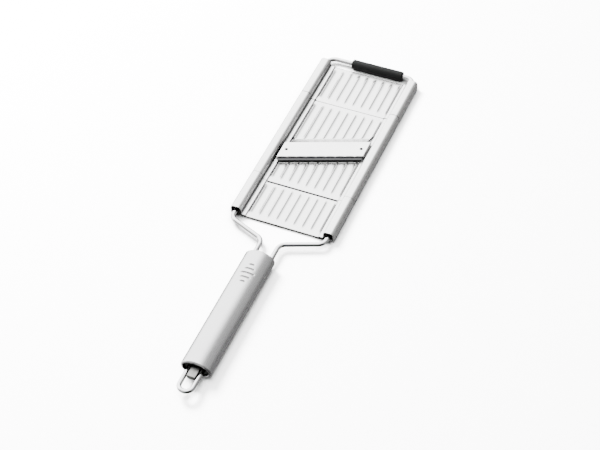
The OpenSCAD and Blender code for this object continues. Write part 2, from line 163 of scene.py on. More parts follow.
@dataclass(frozen=True)
class Finish:
    """A finish that makes one material. Subclasses fill in the surface."""

    name: str
    colour: str
    roughness: float
    metallic: float = 1.0
    shine: float = 0.5

    def build(self) -> bpy.types.Material:
        """Makes the material.

        Returns:
            The material, ready to assign.
        """
        material = bpy.data.materials.new(self.name)
        material.use_nodes = True
        tree = material.node_tree
        tree.nodes.clear()
        output = add_node(tree, "ShaderNodeOutputMaterial")
        shader = add_node(
            tree,
            "ShaderNodeBsdfPrincipled",
            values={
                "Base Color": linear(self.colour),
                "Metallic": self.metallic,
                "Roughness": self.roughness,
                "Specular IOR Level": self.shine,
            },
        )
        tree.links.new(shader.outputs["BSDF"], output.inputs["Surface"])
        place = add_node(tree, "ShaderNodeTexCoord").outputs["Object"]
        self.dress(tree, shader, place)
        return material

    def dress(
        self, tree: bpy.types.NodeTree, shader: bpy.types.Node, place: bpy.types.NodeSocket
    ) -> None:
        """Adds the finish's own pattern.

        Args:
            tree: The material's tree.
            shader: The principled shader.
            place: Object coordinates, in metres.
        """

    def stretched(
        self, tree: bpy.types.NodeTree, place: bpy.types.NodeSocket, scale: Point3,
        turn: float = 0.0,
    ) -> bpy.types.NodeSocket:
        """Scales and turns the coordinates for a pattern.

        Args:
            tree: The material's tree.
            place: Object coordinates.
            scale: Scale along each axis.
            turn: Turn about Z, in degrees.

        Returns:
            The mapped coordinates.
        """
        mapping = add_node(
            tree,
            "ShaderNodeMapping",
            links={"Vector": place},
            values={"Rotation": (0.0, 0.0, math.radians(turn)), "Scale": scale},
        )
        return mapping.outputs["Vector"]

    def painted_shade(
        self, tree: bpy.types.NodeTree, tone: bpy.types.NodeSocket,
        reach: bpy.types.NodeSocket | float, turn: Point2,
        dark: bpy.types.NodeSocket | float,
    ) -> bpy.types.NodeSocket:
        """Paints shade into a tone in creases and gaps, where ambient occlusion finds nearby
        surfaces.

        Args:
            tree: The material's tree.
            tone: The tone so far.
            reach: How far away a surface still casts painted shade on a place, in metres.
            turn: The open shares between which the tone changes.
            dark: The share of the tone that is left in the deepest crease.

        Returns:
            The tone with painted shade.
        """
        occlusion = add_node(tree, "ShaderNodeAmbientOcclusion", samples=8)
        if isinstance(reach, float):
            occlusion.inputs["Distance"].default_value = reach
        else:
            tree.links.new(reach, occlusion.inputs["Distance"])
        share = add_node(
            tree,
            "ShaderNodeMapRange",
            interpolation_type="SMOOTHSTEP",
            links={"Value": occlusion.outputs["AO"]},
            values={"From Min": turn[0], "From Max": turn[1], "To Max": 1.0},
        )
        if isinstance(dark, float):
            share.inputs["To Min"].default_value = dark
        else:
            tree.links.new(dark, share.inputs["To Min"])
        return add_node(
            tree,
            "ShaderNodeMix",
            data_type="RGBA",
            blend_type="MULTIPLY",
            links={6: tone, 7: share.outputs["Result"]},
            values={0: 1.0},
        ).outputs[2]


@dataclass(frozen=True)
class PaleFloor(Finish):
    """Plain pale paint, with a painted soft shade close under the slicer, from ambient occlusion,
    kept lighter beside the handle.
    """

    # The share of the paint left where the painted shade is darkest beside the handle; under the
    # plates it is 0.01.
    handle_shade_tone: float = 0.9

    def dress(
        self, tree: bpy.types.NodeTree, shader: bpy.types.Node, place: bpy.types.NodeSocket
    ) -> None:
        """Adds the painted soft shade.

        Args:
            tree: The material's tree.
            shader: The principled shader.
            place: Object coordinates, in metres.
        """
        paint = add_node(tree, "ShaderNodeRGB")
        paint.outputs[0].default_value = linear(self.colour)
        along = add_node(tree, "ShaderNodeSeparateXYZ", links={0: place}).outputs["Y"]
        # The painted shade is kept light beside the handle and goes to full depth towards the
        # plates.
        dark = add_node(
            tree,
            "ShaderNodeMapRange",
            links={"Value": along},
            values={
                "From Min": DATUM.at(0, -48, 0).y, "From Max": DATUM.at(0, -24, 0).y,
                "To Min": self.handle_shade_tone, "To Max": 0.01,
            },
        ).outputs["Result"]
        # Painted shade under and around the slicer, from ambient occlusion.
        shaded = self.painted_shade(tree, paint.outputs[0], 14.0 * MM, (0.33, 0.85), dark)
        tree.links.new(shaded, shader.inputs["Base Color"])


@dataclass(frozen=True)
class GrainedSteel(Finish):
    """Stainless steel with a directional or cloudy satin grain, and painted shade in its creases.

    The grain spreads the highlight across its own direction, so a plate looks
    evenly pale with soft streaks instead of mirror-bright.
    """

    grain_mm: Point3 = (0.6, 0.6, 0.6)
    grain_depth: float = 0.25
    rough_swing: float = 0.08
    cloud_mm: float = 30.0
    tint: str = "#ffffff"
    turn: float = 0.0
    # Painted shade in creases: how far it reaches, the share of the tone left at its darkest, and
    # the open shares between which it changes. The last two fields widen the painted shade's reach
    # on the rails' inner flanks, which lie this far from the middle.
    crease_shade_mm: float = 4.0
    crease_shade_tone: float = 0.015
    crease_shade_turn: Point2 = (0.55, 0.98)
    flank_shade_mm: float = 0.0
    flank_shade_x_mm: float = 40.0

    def dress(
        self, tree: bpy.types.NodeTree, shader: bpy.types.Node, place: bpy.types.NodeSocket
    ) -> None:
        """Adds grain, cloudy roughness, a faint tone change and painted shade in creases.

        Args:
            tree: The material's tree.
            shader: The principled shader.
            place: Object coordinates, in metres.
        """
        scale = tuple(1.0 / (g * MM) for g in self.grain_mm)
        grain = add_node(
            tree,
            "ShaderNodeTexNoise",
            links={"Vector": self.stretched(tree, place, scale, self.turn)},
            values={"Scale": 1.0, "Detail": 3.0, "Roughness": 0.6},
        )
        cloud = add_node(
            tree,
            "ShaderNodeTexNoise",
            links={"Vector": place},
            values={"Scale": 1.0 / (self.cloud_mm * MM), "Detail": 2.0},
        )
        rough = add_node(
            tree,
            "ShaderNodeMapRange",
            links={"Value": grain.outputs["Fac"]},
            values={
                "From Min": 0.3,
                "From Max": 0.7,
                "To Min": max(0.02, self.roughness - self.rough_swing),
                "To Max": self.roughness + self.rough_swing,
            },
        )
        tree.links.new(rough.outputs["Result"], shader.inputs["Roughness"])
        tone = add_node(
            tree,
            "ShaderNodeMix",
            data_type="RGBA",
            links={0: cloud.outputs["Fac"]},
            values={6: linear(self.colour), 7: linear(self.tint)},
        )
        # Painted shade: the tone darkens in creases found by ambient occlusion.
        reach = self.reach(tree, place)
        shaded = self.painted_shade(tree, tone.outputs[2], reach, self.crease_shade_turn, self.crease_shade_tone)
        tree.links.new(shaded, shader.inputs["Base Color"])
        bump = add_node(
            tree,
            "ShaderNodeBump",
            links={"Height": grain.outputs["Fac"]},
            values={"Strength": self.grain_depth, "Distance": 0.02 * MM},
        )
        tree.links.new(bump.outputs["Normal"], shader.inputs["Normal"])

    def reach(
        self, tree: bpy.types.NodeTree, place: bpy.types.NodeSocket
    ) -> bpy.types.NodeSocket | float:
        """Gives how far the painted crease shade reaches: further on a rail's inner flank, so that
        flank gets a wider band of painted shade.

        Args:
            tree: The material's tree.
            place: Object coordinates, in metres.

        Returns:
            The painted shade's reach, in metres.
        """
        if self.flank_shade_mm == 0:
            return self.crease_shade_mm * MM
        across = add_node(tree, "ShaderNodeSeparateXYZ", links={0: place}).outputs["X"]
        side = add_node(tree, "ShaderNodeMath", operation="ABSOLUTE", links={0: across})
        away = add_node(
            tree,
            "ShaderNodeMath",
            operation="SUBTRACT",
            links={0: side.outputs[0]},
            values={1: self.flank_shade_x_mm * MM},
        )
        return add_node(
            tree,
            "ShaderNodeMapRange",
            links={
                "Value": add_node(
                    tree, "ShaderNodeMath", operation="ABSOLUTE", links={0: away.outputs[0]}
                ).outputs[0]
            },
            values={
                "From Min": 1.8 * MM, "From Max": 2.8 * MM,
                "To Min": self.flank_shade_mm * MM, "To Max": self.crease_shade_mm * MM,
            },
        ).outputs["Result"]


@dataclass(frozen=True)
class MouldedPlastic(Finish):
    """Moulded rubber or plastic with a fine eroded skin and a dusty tone."""

    metallic: float = 0.0
    shine: float = 0.2
    pore_mm: float = 0.5
    pore_depth: float = 0.3
    dust: str = "#3a3a3c"

    def dress(
        self, tree: bpy.types.NodeTree, shader: bpy.types.Node, place: bpy.types.NodeSocket
    ) -> None:
        """Adds the eroded skin and the tone change.

        Args:
            tree: The material's tree.
            shader: The principled shader.
            place: Object coordinates, in metres.
        """
        pores = add_node(
            tree,
            "ShaderNodeTexNoise",
            links={"Vector": place},
            values={"Scale": 1.0 / (self.pore_mm * MM), "Detail": 4.0},
        )
        cloud = add_node(
            tree,
            "ShaderNodeTexNoise",
            links={"Vector": place},
            values={"Scale": 90.0, "Detail": 3.0},
        )
        tone = add_node(
            tree,
            "ShaderNodeMix",
            data_type="RGBA",
            links={0: cloud.outputs["Fac"]},
            values={6: linear(self.colour), 7: linear(self.dust)},
        )
        tree.links.new(tone.outputs[2], shader.inputs["Base Color"])
        bump = add_node(
            tree,
            "ShaderNodeBump",
            links={"Height": pores.outputs["Fac"]},
            values={"Strength": self.pore_depth, "Distance": 0.05 * MM},
        )
        tree.links.new(bump.outputs["Normal"], shader.inputs["Normal"])


@dataclass
class FinishSet:
    """All the finishes of the slicer, made once."""

    # Cold-rolled sheet with a fine satin grain along the slicer: pale and even, with painted shade
    # in its creases and a wider painted shade on the rails' inner flanks.
    sheet: bpy.types.Material = field(
        default_factory=lambda: GrainedSteel(
            "satin_stainless_sheet", "#e6e6e6", 0.27, grain_mm=(0.35, 5.0, 0.35),
            grain_depth=0.12, rough_swing=0.05, tint="#f2f2f1", crease_shade_mm=1.5,
            crease_shade_turn=(0.68, 1.0), flank_shade_mm=10.0,
        ).build()
    )
    # The bridge is smoother than the plates, so it mirrors the sky.
    bridge: bpy.types.Material = field(
        default_factory=lambda: GrainedSteel(
            "smooth_stainless_bridge", "#ececec", 0.2, grain_mm=(4.0, 0.3, 0.3),
            grain_depth=0.08, rough_swing=0.04, tint="#f6f6f5", turn=-21.4, crease_shade_mm=1.5,
        ).build()
    )
    # Hardened blade steel with grinding marks square to the edge. Its dark grey is partly the
    # steel's own colour and partly painted shade and dark reflection.
    blade: bpy.types.Material = field(
        default_factory=lambda: GrainedSteel(
            "ground_blade_steel", "#5c5d5e", 0.3, grain_mm=(0.25, 6.0, 0.5),
            grain_depth=0.3, rough_swing=0.08, tint="#6e6f70", turn=-21.4,
        ).build()
    )
    # Drawn wire, polished: nearly a mirror, with faint drawing marks.
    wire: bpy.types.Material = field(
        default_factory=lambda: GrainedSteel(
            "polished_wire", "#e4e4e5", 0.09, grain_mm=(0.8, 0.8, 0.8),
            grain_depth=0.03, rough_swing=0.03, tint="#ececec",
        ).build()
    )
    # Tube polished lengthwise with a fine belt.
    tube: bpy.types.Material = field(
        default_factory=lambda: GrainedSteel(
            "belt_polished_tube", "#c6c6c7", 0.27, grain_mm=(0.25, 7.0, 0.25),
            grain_depth=0.2, rough_swing=0.06, tint="#d2d2d2",
        ).build()
    )
    # Bead-blasted steel: matte, with a mottled tone.
    blasted: bpy.types.Material = field(
        default_factory=lambda: GrainedSteel(
            "bead_blasted_steel", "#7e7e7c", 0.5, grain_mm=(0.7, 0.7, 0.7),
            grain_depth=0.6, rough_swing=0.1, cloud_mm=2.0, tint="#a2a2a0",
        ).build()
    )
    # The rivets' near-black colour is painted shade of the dimples they sit in, not the steel's own
    # colour.
    rivet: bpy.types.Material = field(
        default_factory=lambda: GrainedSteel(
            "set_rivet_steel", "#1c1d1f", 0.4, grain_mm=(0.4, 0.4, 0.4),
            grain_depth=0.3, tint="#2a2b2d",
        ).build()
    )
    rubber: bpy.types.Material = field(
        default_factory=lambda: MouldedPlastic(
            "matte_black_rubber", "#030303", 0.62, dust="#060606"
        ).build()
    )
    nylon: bpy.types.Material = field(
        default_factory=lambda: MouldedPlastic(
            "black_nylon", "#040404", 0.45, dust="#080808"
        ).build()
    )


# The stage


@dataclass
class Camera:
    """The photograph's view, found from the rails, seams and blade.

    Angles are in degrees and lengths in millimetres.
    """

    azimuth: float = 24.44
    elevation: float = 45.62
    roll: float = -2.29
    distance: float = 1528.31
    focal_px: float = 1746.37
    image: tuple[int, int] = (600, 450)
    offset_px: Point2 = (8.95, -48.33)
    target: Point3 = (0.0, 60.0, 0.0)
    sensor: float = 36.0

    def build(self) -> bpy.types.Object:
        """Makes the camera and hands it to the scene.

        Returns:
            The camera.
        """
        a, e = math.radians(self.azimuth), math.radians(self.elevation)
        back = Vector((math.sin(a) * math.cos(e), -math.cos(a) * math.cos(e), math.sin(e)))
        data = bpy.data.cameras.new("photo_camera")
        data.sensor_width = self.sensor
        data.lens = self.focal_px / self.image[0] * self.sensor
        data.shift_x = -self.offset_px[0] / self.image[0]
        data.shift_y = self.offset_px[1] / self.image[0]
        data.clip_start, data.clip_end = 0.05, 20.0
        camera = bpy.data.objects.new("photo_camera", data)
        bpy.context.scene.collection.objects.link(camera)
        camera.location = DATUM.at(*self.target) + back * self.distance * MM
        look = (-back).to_track_quat("-Z", "Y").to_matrix().to_4x4()
        turned = look @ Matrix.Rotation(math.radians(self.roll), 4, "Z")
        camera.rotation_euler = turned.to_euler()
        bpy.context.scene.camera = camera
        return camera


@dataclass
class Studio:
    """A pale floor and soft lights. Sizes are in metres."""

    floor_size: float = 6.0
    lights: Sequence[tuple[str, Point3, float, float]] = (
        ("key", (-0.95, 0.55, 1.15), 0.7, 310.0),
        ("top", (0.1, -0.3, 1.6), 1.0, 70.0),
    )
    # Each side of the sky: where it lies, the cosines to it between which the level
    # changes, and the level before and after.
    sides: Sequence[tuple[Point3, Point2, Point2]] = (
        ((-0.95, -0.1, 0.3), (-0.2, 0.4), (0.75, 6.2)),
        ((-0.5, 0.0, 0.87), (-0.45, 0.35), (0.42, 1.0)),
        ((0.0, 1.0, 0.0), (0.86, 0.98), (1.0, 0.02)),
        ((0.0, -1.0, 0.0), (0.05, 0.5), (1.0, 0.14)),
        ((-0.75, 0.35, -0.55), (0.85, 0.93), (1.0, 0.03)),
    )

    def build(self) -> None:
        """Makes the floor, the lights and the sky."""
        self.floor()
        for name, place, size, power in self.lights:
            data = bpy.data.lights.new(name, "AREA")
            data.shape = "DISK"
            data.size = size
            data.energy = power
            lamp = bpy.data.objects.new(name, data)
            bpy.context.scene.collection.objects.link(lamp)
            lamp.location = place
            lamp.rotation_euler = (-Vector(place)).to_track_quat("-Z", "Y").to_euler()
            lamp.visible_glossy = False
        world = bpy.data.worlds.new("pale_room")
        bpy.context.scene.world = world
        world.use_nodes = True
        tree = world.node_tree
        direction = add_node(tree, "ShaderNodeTexCoord").outputs["Generated"]
        levels = [self.fade(tree, direction, *side) for side in self.sides]
        strength = levels[0]
        for level in levels[1:]:
            product = add_node(
                tree, "ShaderNodeMath", operation="MULTIPLY", links={0: strength, 1: level}
            )
            strength = product.outputs[0]
        background = tree.nodes["Background"]
        background.inputs["Color"].default_value = (1.0, 1.0, 1.0, 1.0)
        tree.links.new(strength, background.inputs["Strength"])

    def fade(
        self, tree: bpy.types.NodeTree, direction: bpy.types.NodeSocket, towards: Point3,
        turn: Point2, level: Point2,
    ) -> bpy.types.NodeSocket:
        """Adds a sky level that changes smoothly towards one side.

        Args:
            tree: The sky's tree.
            direction: The direction looked at.
            towards: The side.
            turn: The cosines to that side between which the level changes.
            level: The level before and after the change.

        Returns:
            The level.
        """
        aim = add_node(
            tree,
            "ShaderNodeVectorMath",
            operation="DOT_PRODUCT",
            links={0: direction},
            values={1: tuple(Vector(towards).normalized())},
        )
        return add_node(
            tree,
            "ShaderNodeMapRange",
            interpolation_type="SMOOTHSTEP",
            links={"Value": aim.outputs["Value"]},
            values={
                "From Min": turn[0], "From Max": turn[1],
                "To Min": level[0], "To Max": level[1],
            },
        ).outputs["Result"]

    def floor(self) -> None:
        """Makes the floor, tipped so that the handle and the insert's lip rest on it."""
        handle_low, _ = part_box("handle_tube")
        insert_low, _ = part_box("insert_plate")
        insert = InsertPlate()
        lip = DATUM.at(0, insert.slant.y(insert.lip_end, insert.lip_half), 0)
        tip = math.atan2(insert_low.z - handle_low.z, lip.y - handle_low.y)
        half = self.floor_size / 2
        mesh = bpy.data.meshes.new("floor")
        mesh.from_pydata(
            [(-half, -half, 0), (half, -half, 0), (half, half, 0), (-half, half, 0)],
            [],
            [(0, 1, 2, 3)],
        )
        mesh.transform(
            Matrix.Translation((0, handle_low.y, handle_low.z)) @ Matrix.Rotation(tip, 4, "X")
        )
        paint = PaleFloor("pale_floor", "#fafafa", 0.9, metallic=0.0).build()
        mesh.materials.append(paint)
        floor = bpy.data.objects.new("floor", mesh)
        bpy.context.scene.collection.objects.link(floor)
        floor.visible_glossy = False


# Mesh building


def rounded(corners: Sequence[Point3], step: float = 12.0) -> list[Point2]:
    """Rounds the corners of a line.

    Args:
        corners: Each corner's two coordinates and its radius, zero for a sharp one.
        step: Turn from point to point of a round corner, in degrees.

    Returns:
        The points of the rounded line.
    """
    points: list[Point2] = []
    last = len(corners) - 1
    for i, (x, y, radius) in enumerate(corners):
        if radius == 0 or i in (0, last):
            points.append((x, y))
            continue
        here = Vector((x, y))
        before = (Vector(corners[i - 1][:2]) - here).normalized()
        after = (Vector(corners[i + 1][:2]) - here).normalized()
        half = before.angle(after) / 2
        centre = here + (before + after).normalized() * radius / math.sin(half)
        start = here + before * radius / math.tan(half) - centre
        end = here + after * radius / math.tan(half) - centre
        turn = math.atan2(start.x * end.y - start.y * end.x, start.dot(end))
        count = max(2, math.ceil(abs(math.degrees(turn)) / step))
        for k in range(count + 1):
            angle = turn * k / count
            points.append(
                (
                    centre.x + start.x * math.cos(angle) - start.y * math.sin(angle),
                    centre.y + start.x * math.sin(angle) + start.y * math.cos(angle),
                )
            )
    return points


def spread(low: float, high: float, gap: float) -> list[float]:
    """Divides a stretch evenly.

    Args:
        low: Its start.
        high: Its end.
        gap: The widest distance from value to value.

    Returns:
        The values, both ends included.
    """
    count = max(1, math.ceil((high - low) / gap))
    return [low + (high - low) * i / count for i in range(count + 1)]


def new_object(
    name: str, vertices: Sequence[Vector], faces: Sequence[Sequence[int]],
    material: bpy.types.Material,
) -> bpy.types.Object:
    """Makes a mesh object at the origin.

    Args:
        name: The object's name.
        vertices: Places in the frame.
        faces: Faces, by vertex number.
        material: The object's material.

    Returns:
        The object, in the scene.
    """
    mesh = bpy.data.meshes.new(name)
    mesh.from_pydata([tuple(v) for v in vertices], [], [tuple(f) for f in faces])
    mesh.materials.append(material)
    made = bpy.data.objects.new(name, mesh)
    bpy.context.scene.collection.objects.link(made)
    return made


def ring_skin(
    name: str, rings: Sequence[Sequence[Vector]], material: bpy.types.Material
) -> bpy.types.Object:
    """Makes a hollow piece from closed rings, the last joined to the first.

    Args:
        name: The object's name.
        rings: Rings with the same number of places each.
        material: The piece's material.

    Returns:
        The piece, with its faces outward.
    """
    count, size = len(rings), len(rings[0])
    faces = [
        (
            r * size + k,
            r * size + (k + 1) % size,
            (r + 1) % count * size + (k + 1) % size,
            (r + 1) % count * size + k,
        )
        for r in range(count)
        for k in range(size)
    ]
    made = new_object(name, [place for ring in rings for place in ring], faces, material)
    work = bmesh.new()
    work.from_mesh(made.data)
    bmesh.ops.recalc_face_normals(work, faces=work.faces)
    work.to_mesh(made.data)
    work.free()
    return made


def settle(made: bpy.types.Object, sharp: float = 35.0) -> bpy.types.Object:
    """Turns an object and its modifiers into a plain mesh with smooth shading.

    Args:
        made: The object.
        sharp: Edges sharper than this angle stay sharp, in degrees.

    Returns:
        The same object.
    """
    bpy.context.view_layer.update()
    graph = bpy.context.evaluated_depsgraph_get()
    plain = bpy.data.meshes.new_from_object(made.evaluated_get(graph), depsgraph=graph)
    made.modifiers.clear()
    made.data = plain
    plain.shade_smooth()
    plain.set_sharp_from_angle(angle=math.radians(sharp))
    return made


def thicken(made: bpy.types.Object, thickness: float, edge: float) -> None:
    """Gives a sheet its thickness below its faces, and rounds its cut edges.

    Args:
        made: The sheet.
        thickness: The sheet's thickness.
        edge: The radius of the cut edges.
    """
    solid = made.modifiers.new("sheet", "SOLIDIFY")
    solid.thickness = thickness * MM
    solid.offset = -1.0
    solid.use_even_offset = True
    soften(made, edge)


def soften(made: bpy.types.Object, edge: float) -> None:
    """Rounds the sharp edges of a piece.

    Args:
        made: The piece.
        edge: The radius of the edges.
    """
    bevel = made.modifiers.new("edge", "BEVEL")
    bevel.width = edge * MM
    bevel.segments = 2
    bevel.limit_method = "ANGLE"
    bevel.angle_limit = math.radians(50)


def hand_over(
    made: bpy.types.Object, body: Body, slot: str, *nodes: str
) -> bpy.types.Object:
    """Tells the frame what a finished piece rides on and stands for.

    Args:
        made: The piece.
        body: The body it moves with.
        slot: Not used.
        *nodes: The CAD nodes that it replaces.

    Returns:
        The piece.
    """
    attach(made, body.value)
    if nodes:
        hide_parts(*nodes)
    LOG.info("built %s: %d faces", made.name, len(made.data.polygons))
    return made


class NodeGroup:
    """A Geometry Nodes tree with named inputs, and the modifier that uses it."""

    def __init__(self, name: str, sizes: dict[str, float]) -> None:
        """Starts the tree.

        Args:
            name: The tree's name.
            sizes: Its named inputs and their values.
        """
        self.tree = bpy.data.node_groups.new(name, "GeometryNodeTree")
        self.sizes = sizes
        face = self.tree.interface
        face.new_socket("Geometry", in_out="INPUT", socket_type="NodeSocketGeometry")
        face.new_socket("Geometry", in_out="OUTPUT", socket_type="NodeSocketGeometry")
        self.keys = {
            key: face.new_socket(key, in_out="INPUT", socket_type="NodeSocketFloat").identifier
            for key in sizes
        }
        self.inputs = add_node(self.tree, "NodeGroupInput").outputs

    def maths(self, operation: str, *terms: bpy.types.NodeSocket | float) -> bpy.types.NodeSocket:
        """Adds a step of arithmetic.

        Args:
            operation: The Math node's operation.
            *terms: Sockets or numbers.

        Returns:
            The result.
        """
        node = self.tree.nodes.new("ShaderNodeMath")
        node.operation = operation
        for i, term in enumerate(terms):
            if isinstance(term, (int, float)):
                node.inputs[i].default_value = term
            else:
                self.tree.links.new(term, node.inputs[i])
        return node.outputs[0]

    def smooth(
        self, value: bpy.types.NodeSocket, low: bpy.types.NodeSocket | float,
        high: bpy.types.NodeSocket | float, start: float = 0.0, end: float = 1.0,
    ) -> bpy.types.NodeSocket:
        """Adds a smooth step from start to end as value goes from low to high.

        Args:
            value: The value to map.
            low: Where the step begins.
            high: Where it ends.
            start: The result before the step.
            end: The result after it.

        Returns:
            The result.
        """
        node = self.tree.nodes.new("ShaderNodeMapRange")
        node.interpolation_type = "SMOOTHSTEP"
        for i, term in enumerate((value, low, high, start, end)):
            if isinstance(term, (int, float)):
                node.inputs[i].default_value = term
            else:
                self.tree.links.new(term, node.inputs[i])
        return node.outputs[0]

    def place(self) -> tuple[bpy.types.NodeSocket, ...]:
        """Adds the position's three coordinates.

        Returns:
            X, Y and Z.
        """
        point = add_node(self.tree, "GeometryNodeInputPosition").outputs[0]
        split = add_node(self.tree, "ShaderNodeSeparateXYZ", links={0: point})
        return tuple(split.outputs)

    def finish(self, geometry: bpy.types.NodeSocket, material: bpy.types.Material) -> None:
        """Ends the tree with real instances and the material.

        Args:
            geometry: The geometry so far.
            material: The material to set.
        """
        real = add_node(self.tree, "GeometryNodeRealizeInstances", links={0: geometry})
        dressed = add_node(
            self.tree, "GeometryNodeSetMaterial", links={0: real.outputs[0]},
            values={"Material": material},
        )
        add_node(self.tree, "NodeGroupOutput", links={0: dressed.outputs[0]})

    def use_on(self, made: bpy.types.Object) -> None:
        """Puts the tree on an object as a modifier, with the sizes set.

        Args:
            made: The object.
        """
        modifier = made.modifiers.new(self.tree.name, "NODES")
        modifier.node_group = self.tree
        for key, value in self.sizes.items():
            modifier[self.keys[key]] = float(value)


# The wires


@dataclass
class BentWire:
    """A round wire bent in one plane, swept by Geometry Nodes."""

    name: str
    corners: Sequence[Point3]
    diameter: float
    level: float = 0.0
    sides: int = 28
    end_round: float = 0.4

    def build(self, material: bpy.types.Material) -> bpy.types.Object:
        """Sweeps the wire.

        Args:
            material: The wire's material.

        Returns:
            The wire.
        """
        path = [DATUM.at(x, y, self.level) for x, y in rounded(self.corners, step=5.0)]
        edges = [(i, i + 1) for i in range(len(path) - 1)]
        mesh = bpy.data.meshes.new(self.name)
        mesh.from_pydata([tuple(p) for p in path], edges, [])
        made = bpy.data.objects.new(self.name, mesh)
        bpy.context.scene.collection.objects.link(made)
        group = NodeGroup(
            f"{self.name}_sweep",
            {"Radius": self.diameter / 2 * MM, "Sides": self.sides},
        )
        curve = add_node(
            group.tree, "GeometryNodeMeshToCurve", links={0: group.inputs["Geometry"]}
        )
        ring = add_node(
            group.tree,
            "GeometryNodeCurvePrimitiveCircle",
            links={"Resolution": group.inputs["Sides"], "Radius": group.inputs["Radius"]},
        )
        tube = add_node(
            group.tree,
            "GeometryNodeCurveToMesh",
            links={"Curve": curve.outputs[0], "Profile Curve": ring.outputs[0]},
            values={"Fill Caps": True},
        )
        group.finish(tube.outputs[0], material)
        group.use_on(made)
        soften(made, self.end_round)
        return settle(made)


@dataclass
class FrameWire:
    """The bent wire that carries the plates. Its tails end in the handle."""

    wire_d: float = 4.0
    gauge: float = 86.0
    crossbar_y: float = 210.8
    corner_r: float = 9.0
    shoulder_y: float = 9.0
    neck_y: float = 23.0
    shoulder_r: float = 8.0
    tail_gauge: float = 16.0
    tail_end: float = 75.0

    def build(self, finishes: FinishSet) -> None:
        """Builds the wire.

        Args:
            finishes: The slicer's finishes.
        """
        half, tail = self.gauge / 2, self.tail_gauge / 2
        right = [
            (half, self.crossbar_y, self.corner_r),
            (half, -self.shoulder_y, self.shoulder_r),
            (tail, -self.neck_y, self.shoulder_r),
            (tail, -self.tail_end, 0.0),
        ]
        left = [(-x, y, r) for x, y, r in reversed(right)]
        wire = BentWire("frame_wire", left + right, self.wire_d).build(finishes.wire)
        hand_over(wire, Body.FRAME, "polished_wire", "wire_frame")


# The plates


@dataclass
class PressedRibs:
    """The rule of the ribs, as a Geometry Nodes tree that presses them up.

    Each rib is a narrow ridge whose flanks run out towards its neighbours.
    """

    pitch: float = 8.0
    pairs: int = 4
    height: float = 0.8
    half_width: float = 3.6
    ridge_r: float = 0.25
    end_run: float = 5.0
    margin: float = 2.6

    def end_rows(self) -> list[float]:
        """Gives the rows at a plate's end, close together where the ribs rise.

        Returns:
            Distances from the plate's edge.
        """
        return [0.0, 0.6, 0.9] + spread(self.margin, self.margin + self.end_run, 0.5)

    def press(
        self, made: bpy.types.Object, y0: float, y1: float, material: bpy.types.Material,
        window: Optional[tuple[float, float, float, float]] = None,
    ) -> None:
        """Presses the ribs into a sheet.

        Args:
            made: The sheet, as one layer of faces.
            y0: Where the sheet starts.
            y1: Where it ends.
            material: The sheet's material.
            window: Where the window's two edges cross the middle line, its slant in
                degrees, and the distance over which a rib dies out before it.
        """
        front, back, slant, fade = window or (y1 * 2, y1 * 3, 0.0, 1.0)
        group = NodeGroup(
            f"{made.name}_ribs",
            {
                "Pitch": self.pitch * MM,
                "Pairs": self.pairs,
                "Height": self.height * MM,
                "Half width": self.half_width * MM,
                "Ridge": self.ridge_r * MM,
                "End run": self.end_run * MM,
                "Low end": DATUM.at(0, y0 + self.margin, 0).y,
                "High end": DATUM.at(0, y1 - self.margin, 0).y,
                "Window front": DATUM.at(0, front, 0).y,
                "Window back": DATUM.at(0, back, 0).y,
                "Slope": math.tan(math.radians(slant)),
                "Fade": fade * MM,
            },
        )
        g = group.inputs
        x, y, _ = group.place()
        number = group.maths("ROUND", group.maths("DIVIDE", x, g["Pitch"]))
        number = group.maths("MINIMUM", group.maths("ABSOLUTE", number), g["Pairs"])
        across = group.maths(
            "SUBTRACT", group.maths("ABSOLUTE", x), group.maths("MULTIPLY", number, g["Pitch"])
        )
        squares = group.maths(
            "ADD",
            group.maths("MULTIPLY", across, across),
            group.maths("MULTIPLY", g["Ridge"], g["Ridge"]),
        )
        away = group.maths("SUBTRACT", group.maths("SQRT", squares), g["Ridge"])
        share = group.maths("SUBTRACT", 1.0, group.maths("DIVIDE", away, g["Half width"]))
        rise = group.maths("POWER", group.maths("MAXIMUM", share, 0.0), 3.0)
        inside = group.maths(
            "MINIMUM",
            group.maths("SUBTRACT", y, g["Low end"]),
            group.maths("SUBTRACT", g["High end"], y),
        )
        rise = group.maths("MULTIPLY", rise, group.smooth(inside, 0.0, g["End run"]))
        level = group.maths("SUBTRACT", y, group.maths("MULTIPLY", x, g["Slope"]))
        before = group.maths("SUBTRACT", g["Window front"], level)
        after = group.maths("SUBTRACT", level, g["Window back"])
        clear = group.maths("MAXIMUM", before, after)
        rise = group.maths("MULTIPLY", rise, group.smooth(clear, 0.0, g["Fade"]))
        lift = add_node(
            group.tree,
            "ShaderNodeCombineXYZ",
            links={"Z": group.maths("MULTIPLY", rise, g["Height"])},
        )
        panel = group.maths(
            "LESS_THAN",
            group.maths("ABSOLUTE", x),
            group.maths("MULTIPLY", g["Pitch"], group.maths("ADD", g["Pairs"], 0.19)),
        )
        moved = add_node(
            group.tree,
            "GeometryNodeSetPosition",
            links={
                "Geometry": g["Geometry"],
                "Selection": panel,
                "Offset": lift.outputs[0],
            },
        )
        group.finish(moved.outputs[0], material)
        group.use_on(made)


